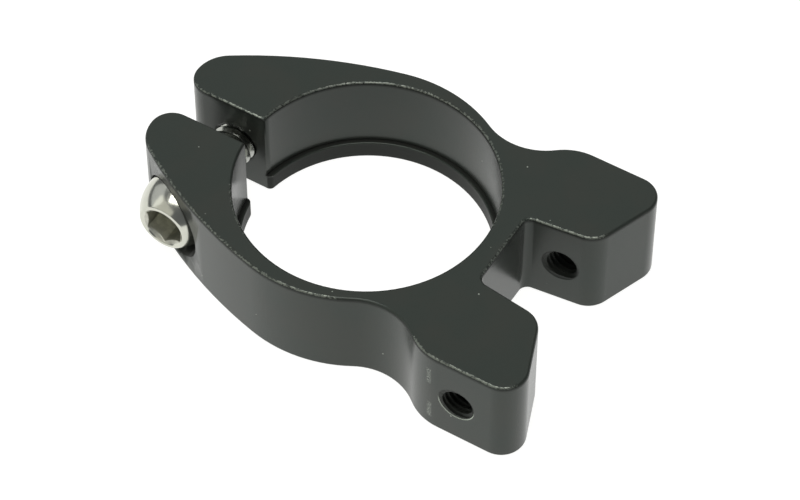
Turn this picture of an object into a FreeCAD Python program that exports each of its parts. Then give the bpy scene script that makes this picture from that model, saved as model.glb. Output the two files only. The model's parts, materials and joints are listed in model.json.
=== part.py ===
"""Seat clamp with two rack arms, held on the seat tube by one domed socket bolt.

The collar is one piece of aluminium: a split ring with two ears at the slot, and two arms
opposite them that each carry a tapped rack eyelet. A stainless bolt draws the ears together.

Frame: millimetres, +Z up. The origin is on the bore's axis, in the plane of the shoulder that
stops the seat tube's end. +X points to the rack arms, and the bolt's head is on the -Y side.
"""

import FreeCAD, Part
import math
import os
import Sketcher

Vector = FreeCAD.Vector
Z_AXIS = Vector(0, 0, 1)

doc = FreeCAD.newDocument("seat_clamp")

# ---------------------------------------------------------------- driving dimensions
sheet = doc.addObject("Spreadsheet::Sheet", "sizes")
SIZES = [
    # the ring that grips the seat tube
    ("bore_radius", 17.5, "grips a 34.9 mm seat tube"),
    ("lip_radius", 16.8, "inside of the lip that stops the tube's end"),
    ("lip_height", 2.8, "lip, below the shoulder"),
    ("grip_height", 11.4, "bore, above the shoulder"),
    ("edge_round", 0.4, "rounding of the top and bottom edges"),
    # outline of one half, from the slot round to the notch between the arms
    ("slot_half", 2.3, "half the width of the slot between the ears"),
    ("tip_reach", 29.9, "bore axis to the end of an ear"),
    ("tip_inner_round", 3.1, "ear end, on the slot's side"),
    ("tip_outer_round", 5.1, "ear end, on the outer side"),
    ("ear_side_round", 68.0, "long, nearly straight outer side of an ear"),
    ("ring_round", 19.35, "outside of the ring"),
    ("ring_centre_back", 1.2, "centre of ring_round, towards the ears"),
    ("ring_centre_out", 0.36, "centre of ring_round, away from the mid-plane"),
    ("neck_round", 8.3, "hollow between the ring and an arm"),
    ("neck_centre_along", 12.5, "centre of neck_round, towards the arms"),
    ("shoulder_round", 7.3, "where the neck swells into an arm"),
    ("arm_out", 19.75, "mid-plane to the outer face of an arm"),
    ("outer_corner_round", 3.3, "outer corner of an arm's end"),
    ("outer_corner_along", 30.17, "centre of outer_corner_round"),
    ("end_slant", 20.9, "degrees that an arm's end face leans"),
    ("inner_corner_round", 3.5, "inner corner of an arm's end"),
    ("inner_corner_out", 10.37, "centre of inner_corner_round, from the mid-plane"),
    ("notch_taper", 6.7, "degrees that the notch opens on each side"),
    ("notch_floor", 20.45, "bore axis to the floor of the notch"),
    ("notch_round", 1.25, "corners of the notch's floor"),
    ("lip_end_round", 0.8, "ends of the lip at the slot"),
    # rack eyelets: the wall stands at the thread's outer diameter, with running room
    ("hole_height", 4.1, "axes of the eyelets and the bolt above the shoulder"),
    ("eyelet_along", 25.4, "bore axis to the eyelets' common axis"),
    ("eyelet_radius", 2.55, "M5 thread"),
    ("eyelet_countersink", 0.1, "countersink at each mouth"),
    # the bolt and its seat in the ears
    ("bolt_along", 22.1, "bore axis back to the bolt's axis"),
    ("tapped_radius", 3.05, "M6 thread in the far ear, with running room"),
    ("tapped_countersink", 0.4, "countersink at the slot"),
    ("shank_room", 3.3, "clearance hole in the near ear"),
    ("pocket_radius", 5.4, "pocket for the bolt's head"),
    ("pocket_floor", 9.2, "mid-plane to the pocket's floor"),
    ("washer_radius", 5.2, "washer outside"),
    ("washer_hole", 3.2, "washer hole"),
    ("washer_thick", 1.0, "washer thickness"),
    ("shank_radius", 3.0, "M6 thread"),
    ("shank_length", 20.0, "under the head to the tip"),
    ("tip_chamfer", 0.6, "lead-in at the bolt's tip"),
    ("head_radius", 5.2, "head at its base"),
    ("head_band", 0.7, "straight band at the head's base"),
    ("head_height", 5.0, "under the head to the socket's rim"),
    ("head_rim_radius", 3.5, "rim round the socket"),
    ("socket_lead", 0.65, "depth of the cone that leads into the socket"),
    ("socket_lead_radius", 2.75, "inner end of that cone"),
    ("socket_flats", 5.0, "across the socket's flats"),
    ("socket_depth", 3.2, "rim to the socket's floor"),
]
for row, (alias, value, meaning) in enumerate(SIZES, start=1):
    sheet.set(f"A{row}", alias.replace("_", " "))
    sheet.set(f"B{row}", str(value))
    sheet.set(f"C{row}", meaning)
    sheet.setAlias(f"B{row}", alias)
doc.recompute()


def size(alias):
    """Value of one cell of the sheet."""
    return float(sheet.get(alias))


# ---------------------------------------------------------------- helpers
def new_body(label):
    body = doc.addObject("PartDesign::Body", label)
    body.Label = label
    return body


def new_sketch(body, name, plane, offset=Vector(0, 0, 0), bindings=None):
    """Sketch on one of the body's own origin planes, moved by offset in the plane's frame.

    bindings maps x, y or z of that offset to an expression on the sheet."""
    support = next(item for item in body.Origin.OriginFeatures if item.Role == plane)
    sketch = body.newObject("Sketcher::SketchObject", name)
    sketch.AttachmentSupport = [(support, "")]
    sketch.MapMode = "FlatFace"
    sketch.AttachmentOffset = FreeCAD.Placement(offset, FreeCAD.Rotation())
    for axis, expression in (bindings or {}).items():
        sketch.setExpression(f"AttachmentOffset.Base.{axis}", expression)
    return sketch


def dimension(sketch, kind, expression, *references):
    """Driving constraint whose value is bound to the sheet."""
    value = sketch.evalExpression(expression)
    value = float(getattr(value, "Value", value))
    if kind == "Angle":
        value = math.radians(value)
    index = sketch.addConstraint(Sketcher.Constraint(kind, *references, value))
    sketch.setExpression(f"Constraints[{index}]", expression)
    return index


def circle_sketch(body, name, plane, radius, centre=None, bindings=None, offset=Vector(0, 0, 0)):
    """Sketch of one circle. centre holds the expressions of its two coordinates."""
    sketch = new_sketch(body, name, plane, offset, bindings)
    sketch.addGeometry(Part.Circle(Vector(0, 0, 0), Z_AXIS, size(radius)))
    dimension(sketch, "Radius", f"sizes.{radius}", 0)
    if centre is None:
        sketch.addConstraint(Sketcher.Constraint("Coincident", 0, 3, -1, 1))
    else:
        dimension(sketch, "DistanceX", centre[0], -1, 1, 0, 3)
        dimension(sketch, "DistanceY", centre[1], -1, 1, 0, 3)
    return sketch


def pocket(body, name, sketch, reverse, length=None):
    """Pocket to a length on the sheet, or through everything. It has to remove material."""
    before = body.Shape.Volume
    cut = body.newObject("PartDesign::Pocket", name)
    cut.Profile = sketch
    cut.Reversed = reverse
    if length is None:
        cut.Type = "ThroughAll"
    else:
        cut.setExpression("Length", length)
    sketch.Visibility = False
    doc.recompute()
    if not body.Shape.Volume < before - 0.01:
        raise RuntimeError(f"{name} removed nothing")
    return cut


def edges_of(feature, wanted):
    """Names of the feature's edges for which wanted(edge) is true."""
    edges = enumerate(feature.Shape.Edges, start=1)
    return [f"Edge{number}" for number, edge in edges if wanted(edge)]


def chamfer(body, name, base, expression, wanted):
    cut = body.newObject("PartDesign::Chamfer", name)
    cut.Base = (base, edges_of(base, wanted))
    cut.setExpression("Size", expression)
    doc.recompute()
    return cut


def heading(angle, length=1.0):
    """Vector of that length at an angle in degrees."""
    return Vector(length * math.cos(math.radians(angle)), length * math.sin(math.radians(angle)), 0)


def bearing(start, end):
    """Angle in degrees, from 0 to 360, of the direction from start to end."""
    return math.degrees(math.atan2(end.y - start.y, end.x - start.x)) % 360


def meeting(first, first_reach, second, second_reach):
    """Where two circles cross, on the right-hand side of the line from first to second."""
    line = second - first
    span = line.Length
    along = (first_reach ** 2 - second_reach ** 2 + span ** 2) / (2 * span)
    aside = math.sqrt(first_reach ** 2 - along ** 2)
    line.normalize()
    return first + line * along + Vector(line.y, -line.x, 0) * aside


class Outline:
    """Closed run of lines and arcs in a sketch, walked with the material on the left."""

    def __init__(self, sketch):
        self.sketch = sketch
        self.entries = []

    def line(self, start, end):
        number = self.sketch.addGeometry(Part.LineSegment(start, end))
        self.entries.append((number, 1, 2))
        return number

    def arc(self, centre, radius, start, end):
        """Arc from one bearing to another, in degrees. A falling bearing runs clockwise."""
        low, high = sorted((start, end))
        circle = Part.Circle(centre, Z_AXIS, radius)
        curve = Part.ArcOfCircle(circle, math.radians(low), math.radians(high))
        number = self.sketch.addGeometry(curve)
        self.entries.append((number, 1, 2) if start < end else (number, 2, 1))
        return number

    def join(self, corners):
        """Join each piece to the next: sharp after the pieces in corners, else tangent."""
        following = self.entries[1:] + self.entries[:1]
        for (number, _, leaving), (after, entering, _) in zip(self.entries, following):
            kind = "Coincident" if number in corners else "Tangent"
            self.sketch.addConstraint(Sketcher.Constraint(kind, number, leaving, after, entering))


# ---------------------------------------------------------------- the collar
def half_outline(sketch):
    """Plan of the collar's +Y half, from the mid-plane round the arm, ring and ear."""
    taper = size("notch_taper")
    slant = size("end_slant")
    arm = size("arm_out")
    corner = size("outer_corner_round")
    inner = size("inner_corner_round")
    floor = size("notch_floor")
    fillet = size("notch_round")
    slot = size("slot_half")
    lip = size("lip_radius")
    lip_end = size("lip_end_round")
    tip_in = size("tip_inner_round")
    tip_out = size("tip_outer_round")
    side = size("ear_side_round")
    ring = size("ring_round")
    neck = size("neck_round")
    shoulder = size("shoulder_round")

    # centres, each from the dimensions and from the arcs that it touches
    outer_corner = Vector(size("outer_corner_along"), arm - corner, 0)
    end_point = outer_corner + heading(-slant, corner)
    end_up = heading(90 - slant)
    inner_y = size("inner_corner_out")
    inner_edge = end_point - heading(-slant, inner)
    inner_corner = inner_edge + end_up * ((inner_y - inner_edge.y) / end_up.y)
    wall_foot = inner_corner + heading(taper - 90, inner)
    wall_up = heading(taper)
    fillet_edge = wall_foot + heading(taper - 90, fillet)
    notch_corner = fillet_edge + wall_up * ((floor + fillet - fillet_edge.x) / wall_up.x)
    ring_centre = Vector(-size("ring_centre_back"), size("ring_centre_out"), 0)
    neck_x = size("neck_centre_along")
    neck_reach = ring + neck
    neck_rise = math.sqrt(neck_reach ** 2 - (neck_x - ring_centre.x) ** 2)
    neck_centre = Vector(neck_x, ring_centre.y + neck_rise, 0)
    shoulder_drop = neck_centre.y - (arm - shoulder)
    shoulder_run = math.sqrt((neck + shoulder) ** 2 - shoulder_drop ** 2)
    shoulder_centre = Vector(neck_x + shoulder_run, arm - shoulder, 0)
    tip_y = slot + tip_in
    tip_in_centre = Vector(tip_in - size("tip_reach"), tip_y, 0)
    tip_out_centre = Vector(tip_out - size("tip_reach"), tip_y, 0)
    side_centre = meeting(tip_out_centre, side - tip_out, ring_centre, side - ring)
    lip_end_y = slot + lip_end
    lip_end_centre = Vector(-math.sqrt((lip + lip_end) ** 2 - lip_end_y ** 2), lip_end_y, 0)
    bore_centre = Vector(0, 0, 0)

    # bearings at which neighbouring arcs meet
    shoulder_to_neck = bearing(shoulder_centre, neck_centre)
    ring_to_neck = bearing(ring_centre, neck_centre)
    side_to_ring = bearing(side_centre, ring_centre)
    side_to_tip = bearing(side_centre, tip_out_centre)

    run = Outline(sketch)
    web = run.line(Vector(lip, 0, 0), Vector(floor, 0, 0))
    notch_end = run.line(Vector(floor, 0, 0), notch_corner + heading(180, fillet))
    notch_arc = run.arc(notch_corner, fillet, 180, 90 + taper)
    wall = run.line(notch_corner + heading(90 + taper, fillet), wall_foot)
    inner_arc = run.arc(inner_corner, inner, taper - 90, -slant)
    end_face = run.line(inner_corner + heading(-slant, inner), end_point)
    outer_arc = run.arc(outer_corner, corner, -slant, 90)
    arm_side = run.line(Vector(outer_corner.x, arm, 0), Vector(shoulder_centre.x, arm, 0))
    shoulder_arc = run.arc(shoulder_centre, shoulder, 90, shoulder_to_neck)
    neck_arc = run.arc(neck_centre, neck, shoulder_to_neck + 180, ring_to_neck + 180)
    ring_arc = run.arc(ring_centre, ring, ring_to_neck, side_to_ring)
    side_arc = run.arc(side_centre, side, side_to_ring, side_to_tip)
    tip_out_arc = run.arc(tip_out_centre, tip_out, side_to_tip, 180)
    tip_in_arc = run.arc(tip_in_centre, tip_in, 180, 270)
    slot_face = run.line(Vector(tip_in_centre.x, slot, 0), Vector(lip_end_centre.x, slot, 0))
    lip_end_arc = run.arc(lip_end_centre, lip_end, 270, bearing(lip_end_centre, bore_centre))
    lip_arc = run.arc(bore_centre, lip, bearing(bore_centre, lip_end_centre), 0)
    run.join(corners=(web, lip_arc))

    sketch.addConstraint(Sketcher.Constraint("Horizontal", web))
    sketch.addConstraint(Sketcher.Constraint("PointOnObject", web, 1, -1))
    sketch.addConstraint(Sketcher.Constraint("Vertical", notch_end))
    sketch.addConstraint(Sketcher.Constraint("Horizontal", arm_side))
    sketch.addConstraint(Sketcher.Constraint("Horizontal", slot_face))
    sketch.addConstraint(Sketcher.Constraint("Horizontal", tip_in_arc, 3, tip_out_arc, 3))
    sketch.addConstraint(Sketcher.Constraint("Coincident", lip_arc, 3, -1, 1))
    radii = {
        notch_arc: "notch_round",
        inner_arc: "inner_corner_round",
        outer_arc: "outer_corner_round",
        shoulder_arc: "shoulder_round",
        neck_arc: "neck_round",
        ring_arc: "ring_round",
        side_arc: "ear_side_round",
        tip_out_arc: "tip_outer_round",
        tip_in_arc: "tip_inner_round",
        lip_end_arc: "lip_end_round",
        lip_arc: "lip_radius",
    }
    for number, alias in radii.items():
        dimension(sketch, "Radius", f"sizes.{alias}", number)
    dimension(sketch, "DistanceX", "sizes.notch_floor", -1, 1, notch_end, 1)
    dimension(sketch, "DistanceY", "sizes.slot_half", -1, 1, slot_face, 1)
    dimension(sketch, "DistanceY", "sizes.arm_out", -1, 1, arm_side, 1)
    dimension(sketch, "DistanceX", "sizes.outer_corner_along", -1, 1, outer_arc, 3)
    dimension(sketch, "DistanceY", "sizes.inner_corner_out", -1, 1, inner_arc, 3)
    dimension(sketch, "DistanceX", "sizes.neck_centre_along", -1, 1, neck_arc, 3)
    dimension(sketch, "DistanceX", "-sizes.ring_centre_back", -1, 1, ring_arc, 3)
    dimension(sketch, "DistanceY", "sizes.ring_centre_out", -1, 1, ring_arc, 3)
    dimension(sketch, "DistanceX", "sizes.tip_inner_round - sizes.tip_reach", -1, 1, tip_in_arc, 3)
    dimension(sketch, "Angle", "sizes.notch_taper", wall)
    dimension(sketch, "Angle", "90 - sizes.end_slant", end_face)


def make_collar():
    body = new_body("clamp_collar")

    # one half of the collar, as tall as the whole, and its mirror image
    below = {"z": "-sizes.lip_height"}
    plan = new_sketch(body, "collar_plan", "XY_Plane", bindings=below)
    half_outline(plan)
    half = body.newObject("PartDesign::Pad", "collar_half")
    half.Profile = plan
    half.setExpression("Length", "sizes.lip_height + sizes.grip_height")
    plan.Visibility = False
    doc.recompute()
    whole = body.newObject("PartDesign::Mirrored", "collar_whole")
    whole.Originals = [half]
    mid_plane = next(item for item in body.Origin.OriginFeatures if item.Role == "XZ_Plane")
    whole.MirrorPlane = (mid_plane, [""])
    body.Tip = whole
    doc.recompute()

    # the bore, from the top down to the shoulder, so that the lip stays below it
    bore = circle_sketch(body, "bore_circle", "XY_Plane", "bore_radius")
    bored = pocket(body, "bore", bore, True, "sizes.grip_height")

    # every edge of the top and bottom faces is broken by hand tools, then blasted
    top = size("grip_height")
    bottom = -size("lip_height")

    def on_end_face(edge):
        box = edge.BoundBox
        return box.ZLength < 1e-6 and min(abs(box.ZMin - top), abs(box.ZMin - bottom)) < 1e-6

    rounded = body.newObject("PartDesign::Fillet", "edge_rounds")
    rounded.Base = (bored, edges_of(bored, on_end_face))
    rounded.setExpression("Radius", "sizes.edge_round")
    doc.recompute()

    # eyelets: one line of holes through both arms
    eyelets = circle_sketch(
        body, "eyelet_circle", "XZ_Plane", "eyelet_radius",
        ("sizes.eyelet_along", "sizes.hole_height"),
        {"z": "sizes.arm_out + 1"},
    )
    pocket(body, "eyelets", eyelets, False)

    # the bolt's path: pocket and clearance hole in the near ear, tapped hole in the far one
    bolt_axis = ("-sizes.bolt_along", "sizes.hole_height")
    seat = circle_sketch(
        body, "pocket_circle", "XZ_Plane", "pocket_radius", bolt_axis, {"z": "sizes.pocket_floor"}
    )
    pocket(body, "head_pocket", seat, True)
    clearance = circle_sketch(body, "clearance_circle", "XZ_Plane", "shank_room", bolt_axis)
    pocket(body, "clearance_hole", clearance, True)
    tapping = circle_sketch(body, "tapped_circle", "XZ_Plane", "tapped_radius", bolt_axis)
    drilled = pocket(body, "tapped_hole", tapping, False)

    def is_eyelet_mouth(edge):
        at_eyelet = abs(edge.BoundBox.Center.x - size("eyelet_along")) < 0.6
        wide = edge.BoundBox.XLength
        return at_eyelet and abs(wide - 2 * size("eyelet_radius")) < 0.02 and edge.isClosed()

    def is_slot_mouth(edge):
        box = edge.BoundBox
        return edge.isClosed() and abs(box.YMin - size("slot_half")) < 1e-6 and box.YLength < 1e-6

    sunk = chamfer(body, "eyelet_countersinks", drilled, "sizes.eyelet_countersink", is_eyelet_mouth)
    chamfer(body, "tapped_countersink", sunk, "sizes.tapped_countersink", is_slot_mouth)
    return body


# ---------------------------------------------------------------- the washer
def make_washer():
    body = new_body("bolt_washer")
    bolt_axis = ("-sizes.bolt_along", "sizes.hole_height")
    ring = circle_sketch(
        body, "washer_ring", "XZ_Plane", "washer_radius", bolt_axis, {"z": "sizes.pocket_floor"}
    )
    ring.addGeometry(Part.Circle(ring.Geometry[0].Center, Z_AXIS, size("washer_hole")))
    ring.addConstraint(Sketcher.Constraint("Coincident", 1, 3, 0, 3))
    dimension(ring, "Radius", "sizes.washer_hole", 1)
    disc = body.newObject("PartDesign::Pad", "washer_disc")
    disc.Profile = ring
    disc.setExpression("Length", "sizes.washer_thick")
    ring.Visibility = False
    doc.recompute()
    return body


# ---------------------------------------------------------------- the bolt
def bolt_profile(sketch):
    """Half section of the bolt, with its axis on the sketch's vertical axis.

    The sketch's origin is under the head, the shank points up and the head down."""
    shank = size("shank_radius")
    length = size("shank_length")
    tip = size("tip_chamfer")
    head = size("head_radius")
    band = size("head_band")
    height = size("head_height")
    rim = size("head_rim_radius")
    lead = size("socket_lead")
    lead_radius = size("socket_lead_radius")

    # the dome is one arc that leaves the band without a step and ends at the rim
    rise = height - band
    fall = head - rim
    dome = (rise ** 2 + fall ** 2) / (2 * fall)
    dome_centre = Vector(head - dome, -band, 0)
    rim_point = Vector(rim, -height, 0)

    run = Outline(sketch)
    base = run.line(Vector(0, length, 0), Vector(0, lead - height, 0))
    lead_floor = run.line(Vector(0, lead - height, 0), Vector(lead_radius, lead - height, 0))
    cone = run.line(Vector(lead_radius, lead - height, 0), rim_point)
    dome_arc = run.arc(dome_centre, dome, bearing(dome_centre, rim_point) - 360, 0)
    head_side = run.line(Vector(head, -band, 0), Vector(head, 0, 0))
    underside = run.line(Vector(head, 0, 0), Vector(shank, 0, 0))
    shank_side = run.line(Vector(shank, 0, 0), Vector(shank, length - tip, 0))
    chamfer_line = run.line(Vector(shank, length - tip, 0), Vector(shank - tip, length, 0))
    tip_face = run.line(Vector(shank - tip, length, 0), Vector(0, length, 0))
    run.join(corners=(base, lead_floor, cone, head_side, underside, shank_side, chamfer_line, tip_face))

    sketch.addConstraint(Sketcher.Constraint("PointOnObject", base, 1, -2))
    sketch.addConstraint(Sketcher.Constraint("Vertical", base))
    sketch.addConstraint(Sketcher.Constraint("Horizontal", lead_floor))
    sketch.addConstraint(Sketcher.Constraint("Vertical", head_side))
    sketch.addConstraint(Sketcher.Constraint("Horizontal", underside))
    sketch.addConstraint(Sketcher.Constraint("PointOnObject", underside, 1, -1))
    sketch.addConstraint(Sketcher.Constraint("Vertical", shank_side))
    sketch.addConstraint(Sketcher.Constraint("Horizontal", tip_face))
    dimension(sketch, "DistanceY", "sizes.shank_length", -1, 1, base, 1)
    dimension(sketch, "DistanceY", "sizes.socket_lead - sizes.head_height", -1, 1, lead_floor, 1)
    dimension(sketch, "DistanceX", "sizes.socket_lead_radius", -1, 1, cone, 1)
    dimension(sketch, "DistanceX", "sizes.head_rim_radius", -1, 1, cone, 2)
    dimension(sketch, "DistanceY", "-sizes.head_height", -1, 1, cone, 2)
    dimension(sketch, "DistanceY", "-sizes.head_band", -1, 1, head_side, 1)
    dimension(sketch, "DistanceX", "sizes.head_radius", -1, 1, underside, 1)
    dimension(sketch, "DistanceX", "sizes.shank_radius", -1, 1, shank_side, 1)
    dimension(sketch, "DistanceX", "sizes.shank_radius - sizes.tip_chamfer", -1, 1, tip_face, 1)
    dimension(sketch, "DistanceY", "sizes.tip_chamfer", chamfer_line, 1, chamfer_line, 2)


def make_bolt():
    body = new_body("clamp_bolt")
    under_head = {
        "x": "-sizes.bolt_along",
        "y": "-(sizes.pocket_floor + sizes.washer_thick)",
        "z": "sizes.hole_height",
    }
    section = new_sketch(body, "bolt_section", "XY_Plane", bindings=under_head)
    doc.recompute()
    bolt_profile(section)
    turned = body.newObject("PartDesign::Revolution", "turned_bolt")
    turned.Profile = section
    turned.ReferenceAxis = (section, ["V_Axis"])
    turned.Angle = 360
    section.Visibility = False
    doc.recompute()

    # hexagon socket, pressed in from the rim, with two of its corners up and down
    rim = {"z": "sizes.pocket_floor + sizes.washer_thick + sizes.head_height"}
    hexagon = new_sketch(body, "socket_hexagon", "XZ_Plane", bindings=rim)
    centre = Vector(-size("bolt_along"), size("hole_height"), 0)
    corner_radius = size("socket_flats") / math.sqrt(3)
    corners = [centre + heading(90 + 60 * turn, corner_radius) for turn in range(6)]
    for turn in range(6):
        hexagon.addGeometry(Part.LineSegment(corners[turn], corners[(turn + 1) % 6]))
    guide = hexagon.addGeometry(Part.Circle(centre, Z_AXIS, corner_radius), True)
    for turn in range(6):
        hexagon.addConstraint(Sketcher.Constraint("Coincident", turn, 2, (turn + 1) % 6, 1))
        hexagon.addConstraint(Sketcher.Constraint("PointOnObject", turn, 1, guide))
    for turn in range(5):
        hexagon.addConstraint(Sketcher.Constraint("Equal", turn, turn + 1))
    hexagon.addConstraint(Sketcher.Constraint("Vertical", 1))
    dimension(hexagon, "Radius", "sizes.socket_flats / sqrt(3)", guide)
    dimension(hexagon, "DistanceX", "-sizes.bolt_along", -1, 1, guide, 3)
    dimension(hexagon, "DistanceY", "sizes.hole_height", -1, 1, guide, 3)
    pocket(body, "socket", hexagon, False, "sizes.socket_depth")
    return body


# ---------------------------------------------------------------- build, check and write
subparts = [make_collar(), make_washer(), make_bolt()]
doc.recompute()

for item in doc.Objects:
    if any(word in item.State for word in ("Invalid", "Error")):
        raise RuntimeError(f"{item.Name} failed: {item.State}")
for part in subparts:
    if part.Shape.isNull() or not part.Shape.isValid() or len(part.Shape.Solids) != 1:
        raise RuntimeError(f"{part.Label} isn't one valid solid")

os.makedirs("parts", exist_ok=True)
for part in subparts:
    part.Shape.exportStep(f"parts/{part.Label}.step")
    box = part.Shape.BoundBox
    print(
        f"{part.Label}: {part.Shape.Volume:.1f} mm3, "
        f"x {box.XMin:.2f} to {box.XMax:.2f}, y {box.YMin:.2f} to {box.YMax:.2f}, "
        f"z {box.ZMin:.2f} to {box.ZMax:.2f}"
    )
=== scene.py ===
"""A bicycle seat clamp with two rack eyelets, its washer and its M6 bolt, on a pale studio table.

Everything is in metres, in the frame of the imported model: +Z up the seat tube, +X towards the rack arms,
and the bolt's head on the -Y side.
"""

import json
import math

import bmesh
import bpy
from mathutils import Matrix, Vector


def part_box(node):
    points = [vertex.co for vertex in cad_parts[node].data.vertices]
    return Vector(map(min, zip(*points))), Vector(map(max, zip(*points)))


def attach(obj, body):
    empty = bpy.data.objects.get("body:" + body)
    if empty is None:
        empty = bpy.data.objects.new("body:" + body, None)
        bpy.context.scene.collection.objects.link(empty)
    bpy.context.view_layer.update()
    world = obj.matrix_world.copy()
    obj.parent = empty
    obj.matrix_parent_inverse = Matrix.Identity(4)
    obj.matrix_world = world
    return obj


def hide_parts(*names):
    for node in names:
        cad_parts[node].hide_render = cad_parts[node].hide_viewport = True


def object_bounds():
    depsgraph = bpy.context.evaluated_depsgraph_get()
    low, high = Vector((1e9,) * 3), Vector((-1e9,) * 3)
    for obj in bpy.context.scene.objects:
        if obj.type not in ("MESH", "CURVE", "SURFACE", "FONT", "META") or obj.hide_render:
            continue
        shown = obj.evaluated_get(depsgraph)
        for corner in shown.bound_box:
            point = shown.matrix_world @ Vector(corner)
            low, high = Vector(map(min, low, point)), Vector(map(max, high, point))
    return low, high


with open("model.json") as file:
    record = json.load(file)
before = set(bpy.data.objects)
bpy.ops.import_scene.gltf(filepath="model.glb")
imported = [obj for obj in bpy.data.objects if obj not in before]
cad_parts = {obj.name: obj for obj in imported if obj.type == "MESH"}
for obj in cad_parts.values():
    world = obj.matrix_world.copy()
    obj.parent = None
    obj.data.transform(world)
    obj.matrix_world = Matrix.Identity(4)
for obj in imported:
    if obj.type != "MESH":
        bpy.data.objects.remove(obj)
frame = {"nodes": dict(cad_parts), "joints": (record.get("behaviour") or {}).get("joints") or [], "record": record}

MM = 0.001
cad_low, cad_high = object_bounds()
mounts = {mount["name"]: mount for mount in frame["record"]["mounts"]}
joints = {joint["name"]: joint for joint in frame["joints"]}


# ---------------------------------------------------------------- the collar
# The collar is one piece of aluminium, sawn from an extruded bar with this outline. It is bored down to a
# thin lip, slotted, drilled and tapped across, blasted with fine beads and anodised black. The black has
# rubbed off along the top edges, and the eyelets' mouths show bare metal, painted on their lower halves only,
# where it also stands as a painted highlight. Painted shade darkens the lip, the corner above it, the pocket,
# the eyelets and bands along the top and bottom edges.
eyelet_pitch = 0.8 * MM
eyelet_core = 2.1 * MM
eyelet_crest = 2.5 * MM
eyelet_mouth = 2.62 * MM
clamp_pitch = 1.0 * MM
clamp_core = 2.54 * MM
clamp_crest = 3.04 * MM
clamp_mouth = 3.4 * MM
clamp_countersink = 3.45 * MM
slot_half = 2.3 * MM
edge_round = 0.4 * MM
lip_radius = 16.8 * MM
lip_edge_round = 0.22 * MM
weld_distance = 0.002 * MM
sharp_angle = math.radians(35)

eyelet_axis = Vector(mounts["far_eyelet"]["pos_m"])
bolt_axis = Vector(joints["bolt_turn"]["pos_m"])
bolt_low, bolt_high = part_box("clamp_bolt")
bolt_tip = bolt_high.y


class Wire:
    """A node's output. Arithmetic on it adds Math nodes to its tree."""

    def __init__(self, sheet, socket):
        self.sheet = sheet
        self.socket = socket

    def __add__(self, other):
        return self.sheet.maths("ADD", self, other)

    def __radd__(self, other):
        return self.sheet.maths("ADD", other, self)

    def __sub__(self, other):
        return self.sheet.maths("SUBTRACT", self, other)

    def __rsub__(self, other):
        return self.sheet.maths("SUBTRACT", other, self)

    def __mul__(self, other):
        return self.sheet.maths("MULTIPLY", self, other)

    def __rmul__(self, other):
        return self.sheet.maths("MULTIPLY", other, self)

    def __truediv__(self, other):
        return self.sheet.maths("DIVIDE", self, other)


class Sheet:
    """A node tree that is being written."""

    def __init__(self, tree):
        self.tree = tree

    def node(self, kind, settings, inputs, output=0):
        """Adds a node, sets its settings and then its sockets, and gives one of its outputs."""
        made = self.tree.nodes.new(kind)
        for name, value in settings.items():
            setattr(made, name, value)
        for key, value in inputs.items():
            if isinstance(value, Wire):
                self.tree.links.new(value.socket, made.inputs[key])
            else:
                made.inputs[key].default_value = value
        if output is None:
            return made
        return Wire(self, made.outputs[output])

    def maths(self, operation, *values):
        """What a Math node makes of these values."""
        return self.node("ShaderNodeMath", {"operation": operation}, dict(enumerate(values)))

    def between(self, value, low, high):
        """A smooth step from 0 at low to 1 at high. Low may be the greater, and then the step falls."""
        settings = {"interpolation_type": "SMOOTHSTEP"}
        return self.node(
            "ShaderNodeMapRange", settings, {"Value": value, "From Min": low, "From Max": high}
        )

    def within(self, value, span):
        """1 inside a span, and 0 outside it, with smooth sides.

        A span is (starts, is full, is full until, ends) in millimetres. None leaves a side open."""
        starts, full, full_until, ends = span
        share = 1.0
        if starts is not None:
            share = self.between(value, starts * MM, full * MM)
        if ends is not None:
            share = share * self.between(value, ends * MM, full_until * MM)
        return share

    def most(self, first, *others):
        """The greatest of some values."""
        for other in others:
            first = self.maths("MAXIMUM", first, other)
        return first

    def blend(self, share, first, second):
        """A mix of two colours."""
        settings = {"data_type": "RGBA"}
        return self.node("ShaderNodeMix", settings, {"Factor": share, 6: first, 7: second}, 2)

    def noise(self, place, size, detail=2.0):
        """Even grey noise with features of about this size."""
        inputs = {"Vector": place, "Scale": 1 / size, "Detail": detail}
        return self.node("ShaderNodeTexNoise", {}, inputs, "Fac")


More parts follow.
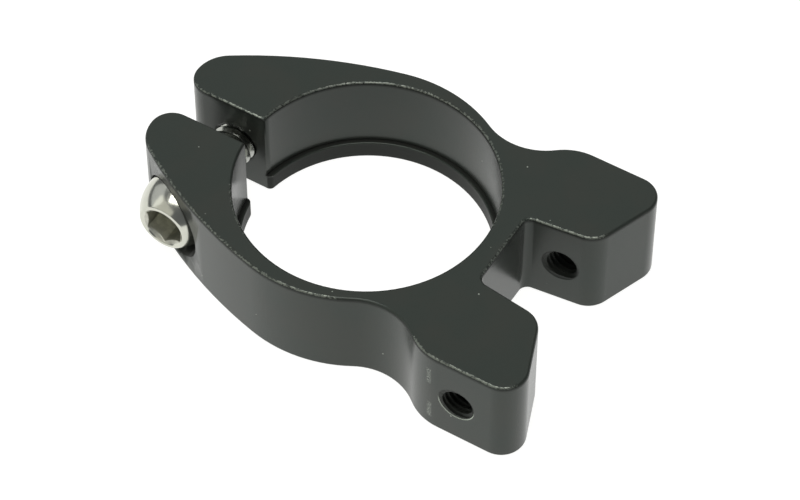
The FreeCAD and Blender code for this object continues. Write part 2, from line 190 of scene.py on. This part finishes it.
def thread_tree():
    """Geometry Nodes for a screw thread along +Z: a grid whose rows climb the helix.

    The thread fades out over Run Out at both ends. Flare Radius opens the far end at 45 degrees."""
    tree = bpy.data.node_groups.new("screw_thread", "GeometryNodeTree")
    floats = ("Core Radius", "Crest Radius", "Pitch", "Length", "Run Out", "Flare Radius")
    for name in floats:
        tree.interface.new_socket(name, in_out="INPUT", socket_type="NodeSocketFloat")
    for name in ("Sides", "Rows"):
        tree.interface.new_socket(name, in_out="INPUT", socket_type="NodeSocketInt")
    tree.interface.new_socket("Finish", in_out="INPUT", socket_type="NodeSocketMaterial")
    tree.interface.new_socket("Thread", in_out="OUTPUT", socket_type="NodeSocketGeometry")
    sheet = Sheet(tree)
    given = sheet.node("NodeGroupInput", {}, {}, None).outputs
    core, crest, pitch, length, run_out, flare = [Wire(sheet, given[name]) for name in floats]
    sides = Wire(sheet, given["Sides"])
    rows = Wire(sheet, given["Rows"])

    turns = length / pitch + 1
    steps = turns * rows
    grid = sheet.node(
        "GeometryNodeMeshGrid",
        {},
        {"Size X": 1.0, "Size Y": 1.0, "Vertices X": steps + 1.5, "Vertices Y": sides + 1.5},
        None,
    )
    mesh = Wire(sheet, grid.outputs["Mesh"])
    place = sheet.node("ShaderNodeSeparateXYZ", {}, {"Vector": Wire(sheet, grid.outputs["UV Map"])}, None)
    turn = Wire(sheet, place.outputs["X"]) * steps / rows
    round_share = Wire(sheet, place.outputs["Y"])

    # each row keeps one place on the thread's profile, and climbs one pitch as it goes round
    climb = (turn + round_share - 1) * pitch
    along = sheet.maths("MINIMUM", sheet.maths("MAXIMUM", climb, 0), length)
    off_crest = sheet.maths("ABSOLUTE", sheet.maths("FRACT", turn) - 0.5)
    # in pitches from the middle of the crest: where its flat ends, and where its flank reaches the root
    crest_half = 1 / 16
    root_half = 3 / 8
    profile = (root_half - off_crest) / (root_half - crest_half)
    to_end = sheet.maths("MINIMUM", along, length - along)
    height = sheet.maths("MINIMUM", sheet.maths("MINIMUM", profile, to_end / run_out), 1)
    share = sheet.maths("MAXIMUM", height, 0)
    cut = core + (crest - core) * share
    # the flare reaches inwards only as far as the crests
    opening = flare - (length - along)
    wide = sheet.maths("GREATER_THAN", opening, crest)
    radius = sheet.maths("MAXIMUM", cut, opening * wide)
    angle = round_share * math.tau
    position = sheet.node(
        "ShaderNodeCombineXYZ",
        {},
        {
            "X": radius * sheet.maths("COSINE", angle),
            "Y": radius * sheet.maths("SINE", angle),
            "Z": along,
        },
    )
    shaped = sheet.node("GeometryNodeSetPosition", {}, {"Geometry": mesh, "Position": position})
    welding = {"Geometry": shaped, "Distance": weld_distance / 2}
    welded = sheet.node("GeometryNodeMergeByDistance", {}, welding)
    real = sheet.node("GeometryNodeRealizeInstances", {}, {"Geometry": welded})
    finished = sheet.node(
        "GeometryNodeSetMaterial", {}, {"Geometry": real, "Material": Wire(sheet, given["Finish"])}
    )
    sheet.node("NodeGroupOutput", {}, {"Thread": finished}, None)
    return tree


def new_piece(name, mesh):
    """An object at the origin that shows this mesh."""
    piece = bpy.data.objects.new(name, mesh)
    bpy.context.scene.collection.objects.link(piece)
    return piece


def evaluated_mesh(piece):
    """The mesh that a piece's modifiers make. The piece itself is removed."""
    graph = bpy.context.evaluated_depsgraph_get()
    mesh = bpy.data.meshes.new_from_object(piece.evaluated_get(graph))
    bpy.data.objects.remove(piece)
    return mesh


def grow(tree, **sizes):
    """The mesh that a Geometry Nodes tree makes with these inputs."""
    carrier = new_piece(tree.name + "_carrier", bpy.data.meshes.new(tree.name))
    modifier = carrier.modifiers.new(tree.name, "NODES")
    modifier.node_group = tree
    for item in tree.interface.items_tree:
        key = item.name.lower().replace(" ", "_")
        if key in sizes:
            modifier[item.identifier] = sizes[key]
    return evaluated_mesh(carrier)


def along_bolt(centre, start):
    """Turns local +Z to -Y and puts the local origin on the line through centre, at y = start."""
    return Matrix.Translation((centre.x, start, centre.z)) @ Matrix.Rotation(math.pi / 2, 4, "X")


def along_far(centre, start):
    """Turns local +Z to +Y and puts the local origin on the line through centre, at y = start."""
    return Matrix.Translation((centre.x, start, centre.z)) @ Matrix.Rotation(-math.pi / 2, 4, "X")


def close_and_weld(form):
    """Welds doubles, closes open ends and turns every face outwards."""
    bmesh.ops.remove_doubles(form, verts=form.verts, dist=weld_distance)
    bmesh.ops.dissolve_degenerate(form, edges=form.edges, dist=weld_distance / 20)
    rims = [edge for edge in form.edges if edge.is_boundary]
    bmesh.ops.holes_fill(form, edges=rims, sides=0)
    bmesh.ops.recalc_face_normals(form, faces=form.faces)
    for face in form.faces:
        face.material_index = 0


# where the edges have lost their black: how much of it, then the spans along x and along y
worn_edges = {
    "near arm": (1.0, (11, 14, 31, 33), (None, None, -18.5, -17.5)),
    "near side of the ring": (0.8, (-16, -6, None, None), (None, None, -18.5, -17.5)),
    "near ear": (0.66, (None, None, -12, -6), (None, None, -10, -8)),
    "far side of the notch": (1.0, (20, 22, 30, 31.5), (2, 4, 8.5, 9.5)),
    "floor of the notch": (0.6, (19, 20, None, None), (-6, -5, 5, 6)),
    "far ear, along the slot": (0.75, (None, None, -18, -17), (1, 2, 2.9, 3.2)),
}
bore_wear = 0.85
# two upright scuffs on the near arm, as x, the lower end and the upper end in millimetres
scuffs = ((21.3, 5.6, 8.9), (21.4, -1.2, 2.1))
scuff_fade = 0.4
green_black = (0.0262, 0.0320, 0.0275, 1)
brown_black = (0.0300, 0.0328, 0.0280, 1)
bare_aluminium = (0.37, 0.40, 0.35, 1)
# painted shade: the colour of the dull dark layer that darkens hollows and edges
painted_shade_black = (0.018, 0.019, 0.017, 1)
oxide_tint = (0.90, 1.0, 0.93, 1)
cloud_size = 7 * MM
chip_size = 0.28 * MM
patch_size = 3 * MM
dust_spacing = 3.6 * MM
streak_size = 0.16 * MM
bead_size = 0.10 * MM
die_line_spacing = 0.5 * MM
die_line_stretch = 0.02
blasting_depth = 0.02 * MM


def black_anodised():
    """Black dye under clear oxide over blasted metal, with bare metal where the edges are rubbed."""
    material = bpy.data.materials.new("black_anodised_aluminium")
    material.use_nodes = True
    material.node_tree.nodes.clear()
    sheet = Sheet(material.node_tree)
    place = sheet.node("ShaderNodeTexCoord", {}, {}, "Object")
    spots = sheet.node("ShaderNodeSeparateXYZ", {}, {"Vector": place}, None)
    x, y, z = [Wire(sheet, spots.outputs[axis]) for axis in "XYZ"]

    def away(first, second):
        """How far a point lies from an axis, by its two distances across it."""
        return sheet.maths("SQRT", first * first + second * second)

    off_bore = away(x, y)
    off_bolt = away(x - bolt_axis.x, z - bolt_axis.z)
    above_eyelet = z - eyelet_axis.z
    off_eyelet = away(x - eyelet_axis.x, above_eyelet)
    # 1 half way round the rounded top and bottom edges, and 0 on the flats and walls beside them
    top_share = (z - (cad_high.z - edge_round)) / edge_round
    bottom_share = (cad_low.z + edge_round - z) / edge_round
    sine = sheet.maths("MINIMUM", sheet.most(top_share, bottom_share, 0), 1)
    edge = 2 * sine * sheet.maths("SQRT", 1 - sine * sine)

    # the dye is faintly cloudy, greener in some places and browner in others
    clouds = sheet.noise(place, cloud_size, 3.0)
    dye = sheet.blend(sheet.between(clouds, 0.35, 0.65), green_black, brown_black)

    # the black comes off in chips on the upper part of a worn edge
    worn = sheet.within(off_bore, (None, None, 18, 18.4)) * sheet.within(y, (2, 3, None, None)) * bore_wear
    for share, x_span, y_span in worn_edges.values():
        worn = sheet.most(worn, sheet.within(x, x_span) * sheet.within(y, y_span) * share)
    wear = edge * worn * sheet.between(sine, 0.30, 0.62)
    chips = sheet.noise(place, chip_size, 5.0)
    patches = sheet.noise(place, patch_size, 2.0)
    flaking = chips * 1.9 + patches * 0.25 + wear * 0.55
    rubbed = sheet.between(flaking, 1.26, 1.62) * sheet.between(wear, 0.02, 0.2)

    # the taps left a ring of bare metal round the eyelets' outer mouths; it is painted on the lower half only,
    # where the light catches it, so it is also a painted highlight
    ring = sheet.within(off_eyelet, (2.53, 2.57, 2.63, 2.68))
    lit_lower_half = sheet.within(above_eyelet, (None, None, -1, 0.8))
    outer_flats = sheet.within(sheet.maths("ABSOLUTE", y), (19.5, 19.6, None, None))
    bare_rim_and_highlight = ring * lit_lower_half * outer_flats * sheet.between(chips, 0.25, 0.4)

    # a few specks of dust lie on it, and the near arm's wall is scuffed twice
    voronoi = {"Vector": place, "Scale": 1 / dust_spacing}
    off_speck = sheet.node("ShaderNodeTexVoronoi", {}, voronoi, "Distance")
    dust = sheet.between(off_speck, 0.036, 0.022)
    scuffed = 0.0
    for across, bottom, top in scuffs:
        beside = sheet.within(sheet.maths("ABSOLUTE", x - across * MM), (None, None, 0.2, 0.48))
        scuffed = beside * sheet.within(z, (bottom, bottom + scuff_fade, top - scuff_fade, top)) + scuffed
    streaks = sheet.noise(place, streak_size, 2.0)
    scuffed = scuffed * sheet.within(y, (None, None, -19.3, -19)) * sheet.between(streaks, 0.44, 0.62)
    pale = sheet.most(rubbed * 0.44, dust, scuffed * 0.6, bare_rim_and_highlight)

    # fine beads leave a grain, and the extrusion die leaves faint lines up the walls
    grain = sheet.noise(place, bead_size, 2.0)
    stretch = {0: place, 1: (1, 1, die_line_stretch)}
    upright = sheet.node("ShaderNodeVectorMath", {"operation": "MULTIPLY"}, stretch)
    height = grain + sheet.noise(upright, die_line_spacing, 3.0) * 0.8
    relief = {"Strength": 0.18, "Distance": blasting_depth, "Height": height}
    bump = sheet.node("ShaderNodeBump", {}, relief)
    shader = sheet.node(
        "ShaderNodeBsdfPrincipled",
        {},
        {
            "Base Color": sheet.blend(pale, dye, bare_aluminium),
            "Roughness": 0.21 + grain * 0.08 + rubbed * 0.1,
            "Metallic": sheet.most(rubbed * 0.7, bare_rim_and_highlight * 0.8),
            "IOR": 1.4,
            "Specular Tint": oxide_tint,
            "Normal": bump,
        },
    )

    # painted shade: a dull dark matt layer darkens the lip, the corner above it, the lowest edge, the pocket, the
    # eyelets and a band just below the top edges
    lip = sheet.within(off_bore, (None, None, 17.3, 17.45)) * sheet.within(z, (None, None, -0.3, -0.1))
    corner = sheet.within(off_bore, (17.0, 17.25, 17.6, 17.8)) * sheet.within(z, (-0.2, -0.05, 0.15, 0.55))
    lowest = sheet.within(z - cad_low.z, (None, None, 0.1, 0.3))
    pocket = sheet.within(off_bolt, (None, None, 5.42, 5.5)) * sheet.within(y, (None, None, -9, -8))
    eyelets = sheet.within(off_eyelet, (None, None, 2.61, 2.66)) * (1 - bare_rim_and_highlight) * 0.75
    below_edge = sheet.within(z - cad_high.z, (-0.75, -0.45, -0.28, -0.12)) * 0.7
    painted_shade = sheet.most(lip, corner, lowest, pocket, eyelets, below_edge)
    painted_shade_matt = sheet.node(
        "ShaderNodeBsdfPrincipled",
        {},
        {"Base Color": painted_shade_black, "Roughness": 0.6, "IOR": 1.2, "Normal": bump},
    )
    surface = sheet.node("ShaderNodeMixShader", {}, {"Fac": painted_shade * 0.8, 1: shader, 2: painted_shade_matt})
    sheet.node("ShaderNodeOutputMaterial", {}, {"Surface": surface}, None)
    return material


screw_thread = thread_tree()
anodised = black_anodised()

# the cutting shapes of the three taps, in one mesh; each runs on outside the metal, where its thread fades
overshoot = 1.1 * MM
taps = bmesh.new()
eyelet_length = 16.8 * MM
eyelet_cut = grow(
    screw_thread,
    core_radius=eyelet_core,
    crest_radius=eyelet_crest,
    pitch=eyelet_pitch,
    length=eyelet_length,
    run_out=eyelet_pitch,
    flare_radius=eyelet_mouth + overshoot,
    sides=64,
    rows=16,
    finish=anodised,
)
near_cut = eyelet_cut.copy()
# the near eyelet's thread is turned so that a groove lies just inside the lowest point of its mouth
groove_depth = 0.35 * MM
share_at_mouth = ((eyelet_length - overshoot - groove_depth) / eyelet_pitch + 0.5) % 1
lowest_share = 0.75
near_cut.transform(Matrix.Rotation(math.tau * (lowest_share - share_at_mouth), 4, "Z"))
near_cut.transform(along_bolt(eyelet_axis, cad_low.y - overshoot + eyelet_length))
far_cut = eyelet_cut.copy()
far_cut.transform(along_far(eyelet_axis, cad_high.y + overshoot - eyelet_length))
clamp_turns_past_tip = 9
clamp_start = bolt_tip + clamp_turns_past_tip * clamp_pitch
clamp_cut = grow(
    screw_thread,
    core_radius=clamp_core,
    crest_radius=clamp_crest,
    pitch=clamp_pitch,
    length=clamp_start - slot_half + overshoot,
    run_out=clamp_pitch,
    flare_radius=clamp_mouth + overshoot,
    sides=96,
    rows=16,
    finish=anodised,
)
clamp_cut.transform(along_bolt(bolt_axis, clamp_start))
for cut in (near_cut, far_cut, clamp_cut):
    taps.from_mesh(cut)
close_and_weld(taps)
tap_mesh = bpy.data.meshes.new("taps")
taps.to_mesh(tap_mesh)
tap_piece = new_piece("taps", tap_mesh)

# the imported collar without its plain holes, whose mouths are closed before the taps go in
blank = bmesh.new()
blank.from_mesh(frame["nodes"]["clamp_collar"].data)
bmesh.ops.remove_doubles(blank, verts=blank.verts, dist=weld_distance)
slack = 0.02 * MM
flat_within = math.radians(0.05)


def is_in_hole(face, centre, radius, side):
    """Whether a face belongs to the hole of this radius round centre, on the side of y that side has."""
    for vertex in face.verts:
        off_axis = math.hypot(vertex.co.x - centre.x, vertex.co.z - centre.z)
        if off_axis > radius + slack or vertex.co.y * side <= 0:
            return False
    return True


def is_on_lip_edge(vertex):
    """Whether a point lies on the lip's inner top edge, which is at z = 0."""
    off_edge = math.hypot(vertex.co.x, vertex.co.y) - lip_radius
    return abs(vertex.co.z) < slack and abs(off_edge) < slack


def merge_flats(form):
    """Joins the triangles of each flat into one face, so that its shading is even."""
    bmesh.ops.dissolve_limit(form, angle_limit=flat_within, verts=form.verts, edges=form.edges)


in_holes = [
    face
    for face in blank.faces
    if is_in_hole(face, eyelet_axis, eyelet_mouth, 1)
    or is_in_hole(face, eyelet_axis, eyelet_mouth, -1)
    or is_in_hole(face, bolt_axis, clamp_countersink, 1)
]
bmesh.ops.delete(blank, geom=in_holes, context="FACES")
close_and_weld(blank)
lip_edge = [edge for edge in blank.edges if all(is_on_lip_edge(vertex) for vertex in edge.verts)]
bmesh.ops.bevel(
    blank,
    geom=lip_edge,
    offset=lip_edge_round,
    segments=4,
    profile=0.5,
    affect="EDGES",
    clamp_overlap=True,
)
merge_flats(blank)
blank_mesh = bpy.data.meshes.new("collar_blank")
blank.to_mesh(blank_mesh)
blank_mesh.materials.append(anodised)
blank_piece = new_piece("collar_blank", blank_mesh)
tapping = blank_piece.modifiers.new("tapping", "BOOLEAN")
tapping.operation = "DIFFERENCE"
tapping.solver = "EXACT"
tapping.object = tap_piece
collar_mesh = evaluated_mesh(blank_piece)
bpy.data.objects.remove(tap_piece)
tapped = bmesh.new()
tapped.from_mesh(collar_mesh)
close_and_weld(tapped)
merge_flats(tapped)
tapped.to_mesh(collar_mesh)
collar_mesh.materials.clear()
collar_mesh.materials.append(anodised)

collar_mesh.shade_smooth()
collar_mesh.set_sharp_from_angle(angle=sharp_angle)
collar = new_piece("tapped_collar", collar_mesh)
even = collar.modifiers.new("even_shading", "WEIGHTED_NORMAL")
even.keep_sharp = True
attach(collar, "collar")
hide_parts("clamp_collar")


# ---------------------------------------------------------------- the washer
# A plain stainless washer between the bolt's head and the floor of its pocket. It is punched from sheet,
# which rolls the edges of one side over and leaves the other side's edges nearly square.
washer_outside = 5.2 * MM
washer_inside = 3.2 * MM
washer_low, washer_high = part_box("bolt_washer")
under_head_gap = 0.01 * MM
washer_thick = washer_high.y - washer_low.y - under_head_gap
rolled_edge = 0.25 * MM
square_edge = 0.06 * MM
lathe_sides = 96


def rounded_corners(corners, steps=5):
    """Points along a lathe profile, given its corners as (radius, along, round)."""
    points = []
    for before, corner, after in zip(corners[-1:] + corners[:-1], corners, corners[1:] + corners[:1]):
        here = Vector(corner[:2])
        rounding = corner[2]
        if not rounding:
            points.append(tuple(here))
            continue
        back_way = (Vector(before[:2]) - here).normalized()
        on_way = (Vector(after[:2]) - here).normalized()
        half_angle = back_way.angle(on_way) / 2
        centre = here + (back_way + on_way).normalized() * rounding / math.sin(half_angle)
        start = here + back_way * rounding / math.tan(half_angle) - centre
        end = here + on_way * rounding / math.tan(half_angle) - centre
        sweep = start.angle_signed(end)
        for step in range(steps + 1):
            spoke = start.copy()
            spoke.rotate(Matrix.Rotation(-sweep * step / steps, 2))
            points.append(tuple(centre + spoke))
    return points


def lathe(form, rings, closed):
    """Turns a profile about local +Z. A ring's radius and height are numbers, or rules of the angle."""
    loops = []
    for radius, along in rings:
        loop = []
        for side in range(lathe_sides):
            angle = math.tau * side / lathe_sides
            reach = radius(angle) if callable(radius) else radius
            height = along(angle) if callable(along) else along
            loop.append(form.verts.new((reach * math.cos(angle), reach * math.sin(angle), height)))
        loops.append(loop)
    if closed:
        loops.append(loops[0])
    for lower, upper in zip(loops, loops[1:]):
        for side in range(lathe_sides):
            after = (side + 1) % lathe_sides
            form.faces.new((lower[side], lower[after], upper[after], upper[side]))


washer_tint = (0.55, 0.55, 0.53)
washer_roughness = 0.28
dark_pressed = (0.44, 0.44, 0.39, 1)
light_pressed = (0.58, 0.58, 0.51, 1)
darker_thread_steel = (0.42, 0.43, 0.40, 1)
haze_size = 0.9 * MM
smear_size = 2.4 * MM
turning_pitch = 0.11 * MM
turning_depth = 0.002 * MM


def stainless(name, tint, roughness, socket_reach):
    """Polished stainless steel with fine turning rings, and darker along the thread.

    Inside a pressed socket, which reaches this far from the axis, it is duller and more olive."""
    material = bpy.data.materials.new(name)
    material.use_nodes = True
    material.node_tree.nodes.clear()
    sheet = Sheet(material.node_tree)
    place = sheet.node("ShaderNodeTexCoord", {}, {}, "Object")
    spots = sheet.node("ShaderNodeSeparateXYZ", {}, {"Vector": place}, None)
    aside = Wire(sheet, spots.outputs["X"]) - bolt_axis.x
    above = Wire(sheet, spots.outputs["Z"]) - bolt_axis.z
    along = Wire(sheet, spots.outputs["Y"])
    off_axis = sheet.maths("SQRT", aside * aside + above * above)
    in_head = sheet.within(along - washer_low.y, (None, None, -0.1, 0))
    in_socket = sheet.within(off_axis - socket_reach, (None, None, 0, 0.03)) * in_head
    on_thread = sheet.within(along - washer_high.y, (0, 0.5, None, None))
    haze = sheet.noise(place, haze_size, 4.0)
    smears = sheet.noise(place, smear_size, 3.0)
    light_tint = tuple(1.06 * channel for channel in tint) + (1,)
    bare = sheet.blend(sheet.between(smears, 0.35, 0.65), tint + (1,), light_tint)
    pressed = sheet.blend(sheet.between(haze, 0.35, 0.65), dark_pressed, light_pressed)
    colour = sheet.blend(on_thread, sheet.blend(in_socket, bare, pressed), darker_thread_steel)
    rings = sheet.maths("SINE", off_axis * (math.tau / turning_pitch) + haze * 4)
    relief = {"Strength": 0.10, "Distance": turning_depth, "Height": rings + smears * 60 + haze * 12}
    shader = sheet.node(
        "ShaderNodeBsdfPrincipled",
        {},
        {
            "Base Color": colour,
            "Roughness": roughness + haze * 0.12 + in_socket * 0.2,
            "Metallic": 1.0,
            "Normal": sheet.node("ShaderNodeBump", {}, relief),
        },
    )
    sheet.node("ShaderNodeOutputMaterial", {}, {"Surface": shader}, None)
    return material


washer_form = bmesh.new()
washer_corners = [
    (washer_inside, 0, square_edge),
    (washer_outside, 0, square_edge),
    (washer_outside, washer_thick, rolled_edge),
    (washer_inside, washer_thick, rolled_edge),
]
lathe(washer_form, rounded_corners(washer_corners), closed=True)
close_and_weld(washer_form)
washer_mesh = bpy.data.meshes.new("punched_washer")
washer_form.to_mesh(washer_mesh)
washer_mesh.transform(along_bolt(bolt_axis, washer_high.y))
washer_mesh.materials.append(stainless("washer_stainless", washer_tint, washer_roughness, 0.0))
washer_mesh.shade_smooth()
washer_mesh.set_sharp_from_angle(angle=sharp_angle)
washer = new_piece("punched_washer", washer_mesh)
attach(washer, "washer")
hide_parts("bolt_washer")


# ---------------------------------------------------------------- the bolt
# An M6 cap screw of polished stainless steel with a domed head. The head is cold forged, its hexagon socket
# is pressed in behind a conical lead, and the right-hand thread is rolled up to just under the head.
bolt_crest = 3.0 * MM
bolt_core = 2.39 * MM
tip_chamfer = 0.6 * MM
neck_length = 1.2 * MM
neck_round = 0.3 * MM
head_radius = 5.2 * MM
head_band = 0.7 * MM
head_rim = 3.5 * MM
rim_round = 0.3 * MM
socket_mouth = 3.1 * MM
mouth_round = 0.04 * MM
lead_width = 0.06 * MM
under_edge = 0.2 * MM
socket_half = 2.5 * MM
socket_depth = 3.2 * MM
lead_slope = 0.65 / 0.75
socket_edge = 0.1 * MM
drill_radius = 2.2 * MM
drill_depth = 0.7 * MM
drill_point = 0.1 * MM
pressed_reach = 2.9 * MM
bolt_tint = (0.56, 0.565, 0.50)
bolt_roughness = 0.12
under_head = washer_low.y
head_height = under_head - bolt_low.y
shank_length = bolt_tip - under_head


def socket_wall(angle):
    """The hexagon's reach at an angle: its corners are straight up and down."""
    off_flat = (angle + math.pi / 6) % (math.pi / 3) - math.pi / 6
    return socket_half / math.cos(off_flat)


def lead_ring(outwards, down):
    """Two rules for a ring on the conical lead, this far outside the hexagon and this far below the cone."""

    def reach(angle):
        return socket_wall(angle) + outwards

    def height(angle):
        return head_height - (socket_mouth - reach(angle)) * lead_slope - down

    return reach, height


# the dome is one arc, upright where it leaves the band, that ends at the rim
rise = head_height - head_band
fall = head_radius - head_rim
dome = (rise**2 + fall**2) / (2 * fall)
dome_sweep = math.asin(rise / dome)
dome_steps = 28

bolt_form = bmesh.new()
neck_corners = [
    (bolt_core, -neck_length, 0),
    (bolt_core, 0, neck_round),
    (head_radius, 0, under_edge),
    (head_radius, head_band, 0),
]
head_rings = rounded_corners(neck_corners)
for step in range(1, dome_steps):
    bearing = dome_sweep * step / dome_steps
    reach = head_radius - dome + dome * math.cos(bearing)
    head_rings.append((reach, head_band + dome * math.sin(bearing)))
face_corners = [
    head_rings[-1] + (0,),
    (head_rim, head_height, rim_round),
    (socket_mouth, head_height, mouth_round),
    (socket_mouth - lead_width, head_height - lead_width * lead_slope, 0),
]
head_rings += rounded_corners(face_corners)[1:]
# the lead turns down into the hexagon over a small round
head_rings.append(lead_ring(socket_edge, 0))
head_rings.append(lead_ring(socket_edge * 0.3, socket_edge * 0.15))
head_rings.append(lead_ring(0, socket_edge))
socket_floor = head_height - socket_depth
head_rings.append((socket_wall, socket_floor))
head_rings.append((drill_radius, socket_floor))
head_rings.append((drill_point, socket_floor - drill_depth))
lathe(bolt_form, head_rings, closed=False)
for vertex in bolt_form.verts:
    vertex.co = along_bolt(bolt_axis, under_head) @ vertex.co
steel = stainless("bolt_stainless", bolt_tint, bolt_roughness, pressed_reach)
rolled_thread = grow(
    screw_thread,
    core_radius=bolt_core,
    crest_radius=bolt_crest,
    pitch=clamp_pitch,
    length=shank_length - neck_length,
    run_out=tip_chamfer,
    flare_radius=0.0,
    sides=lathe_sides,
    rows=16,
    finish=steel,
)
rolled_thread.transform(along_bolt(bolt_axis, bolt_tip))
bolt_form.from_mesh(rolled_thread)
close_and_weld(bolt_form)
bolt_mesh = bpy.data.meshes.new("cap_screw")
bolt_form.to_mesh(bolt_mesh)
bolt_mesh.materials.append(steel)
bolt_mesh.shade_smooth()
bolt_mesh.set_sharp_from_angle(angle=sharp_angle)
bolt = new_piece("cap_screw", bolt_mesh)
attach(bolt, "bolt")
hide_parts("clamp_bolt")


# ---------------------------------------------------------------- the floor, the light and the camera
# A white table top that glows softly, in a dim room with a bright softbox overhead and three faint ones. The
# table lies a hair below the collar, so that the two don't share a plane.
floor_half = 1.5
floor_gap = 0.02 * MM
table_grey = (0.25, 0.25, 0.245, 1)
table_roughness = 0.8
table_glow = (1, 1, 0.99, 1)
table_glow_strength = 0.92
room_colour = (0.92, 0.96, 1.0, 1)
room_strength = 0.16
floor_mesh = bpy.data.meshes.new("table_top")
floor_level = cad_low.z - floor_gap
corners = [(x * floor_half, y * floor_half, floor_level) for x, y in ((-1, -1), (1, -1), (1, 1), (-1, 1))]
floor_mesh.from_pydata(corners, [], [(0, 1, 2, 3)])
floor = new_piece("table_top", floor_mesh)
table = bpy.data.materials.new("white_table")
table.use_nodes = True
table_finish = table.node_tree.nodes["Principled BSDF"]
table_finish.inputs["Base Color"].default_value = table_grey
table_finish.inputs["Roughness"].default_value = table_roughness
table_finish.inputs["Emission Color"].default_value = table_glow
table_finish.inputs["Emission Strength"].default_value = table_glow_strength
floor_mesh.materials.append(table)

world = bpy.data.worlds.new("dim_room")
world.use_nodes = True
background = world.node_tree.nodes["Background"]
background.inputs["Color"].default_value = room_colour
background.inputs["Strength"].default_value = room_strength
bpy.context.scene.world = world


def softbox(name, place, width, height, glow, colour):
    """A rectangular lamp aimed at the object. Its power follows from its glow and its area."""
    lamp = bpy.data.lights.new(name, "AREA")
    lamp.shape = "RECTANGLE"
    lamp.size = width
    lamp.size_y = height
    lamp.energy = glow * math.pi * width * height
    lamp.color = colour
    box = bpy.data.objects.new(name, lamp)
    box.location = place
    box.rotation_mode = "QUATERNION"
    box.rotation_quaternion = (-Vector(place)).to_track_quat("-Z", "Y")
    bpy.context.scene.collection.objects.link(box)


softbox("overhead", (0.02, -0.12, 0.7), width=0.45, height=0.35, glow=5.0, colour=(1, 0.99, 0.96))
softbox("behind", (-0.33, 0.54, 0.78), width=1.1, height=0.8, glow=0.6, colour=(0.97, 1.0, 0.97))
softbox("left", (-0.48, -0.10, 0.30), width=0.5, height=0.4, glow=0.5, colour=(0.98, 0.99, 1))
softbox("front_left", (-0.19, -0.36, 0.27), width=0.62, height=0.40, glow=0.55, colour=(1, 0.98, 0.88))

camera_azimuth = math.radians(31.358)
camera_elevation = math.radians(51.0)
camera_roll = math.radians(0.155)
camera_distance = 0.46064
camera_aside = 0.00433
camera_above = 0.0004
camera_lens = 156.27
back = Vector(
    (
        math.sin(camera_azimuth) * math.cos(camera_elevation),
        -math.cos(camera_azimuth) * math.cos(camera_elevation),
        math.sin(camera_elevation),
    )
)
right = (-back).cross(Vector((0, 0, 1))).normalized()
right.rotate(Matrix.Rotation(camera_roll, 3, back))
up = back.cross(right)
camera_data = bpy.data.cameras.new("product_camera")
camera_data.sensor_width = 36
camera_data.lens = camera_lens
camera = bpy.data.objects.new("product_camera", camera_data)
camera_turn = Matrix((right, up, back)).transposed()
looked_at = Vector((0, 0, cad_low.z))
camera_place = looked_at + back * camera_distance + right * camera_aside + up * camera_above
camera.matrix_world = Matrix.Translation(camera_place) @ camera_turn.to_4x4()
bpy.context.scene.collection.objects.link(camera)
bpy.context.scene.camera = camera
bpy.context.scene.view_settings.view_transform = "Standard"

bpy.context.view_layer.update()
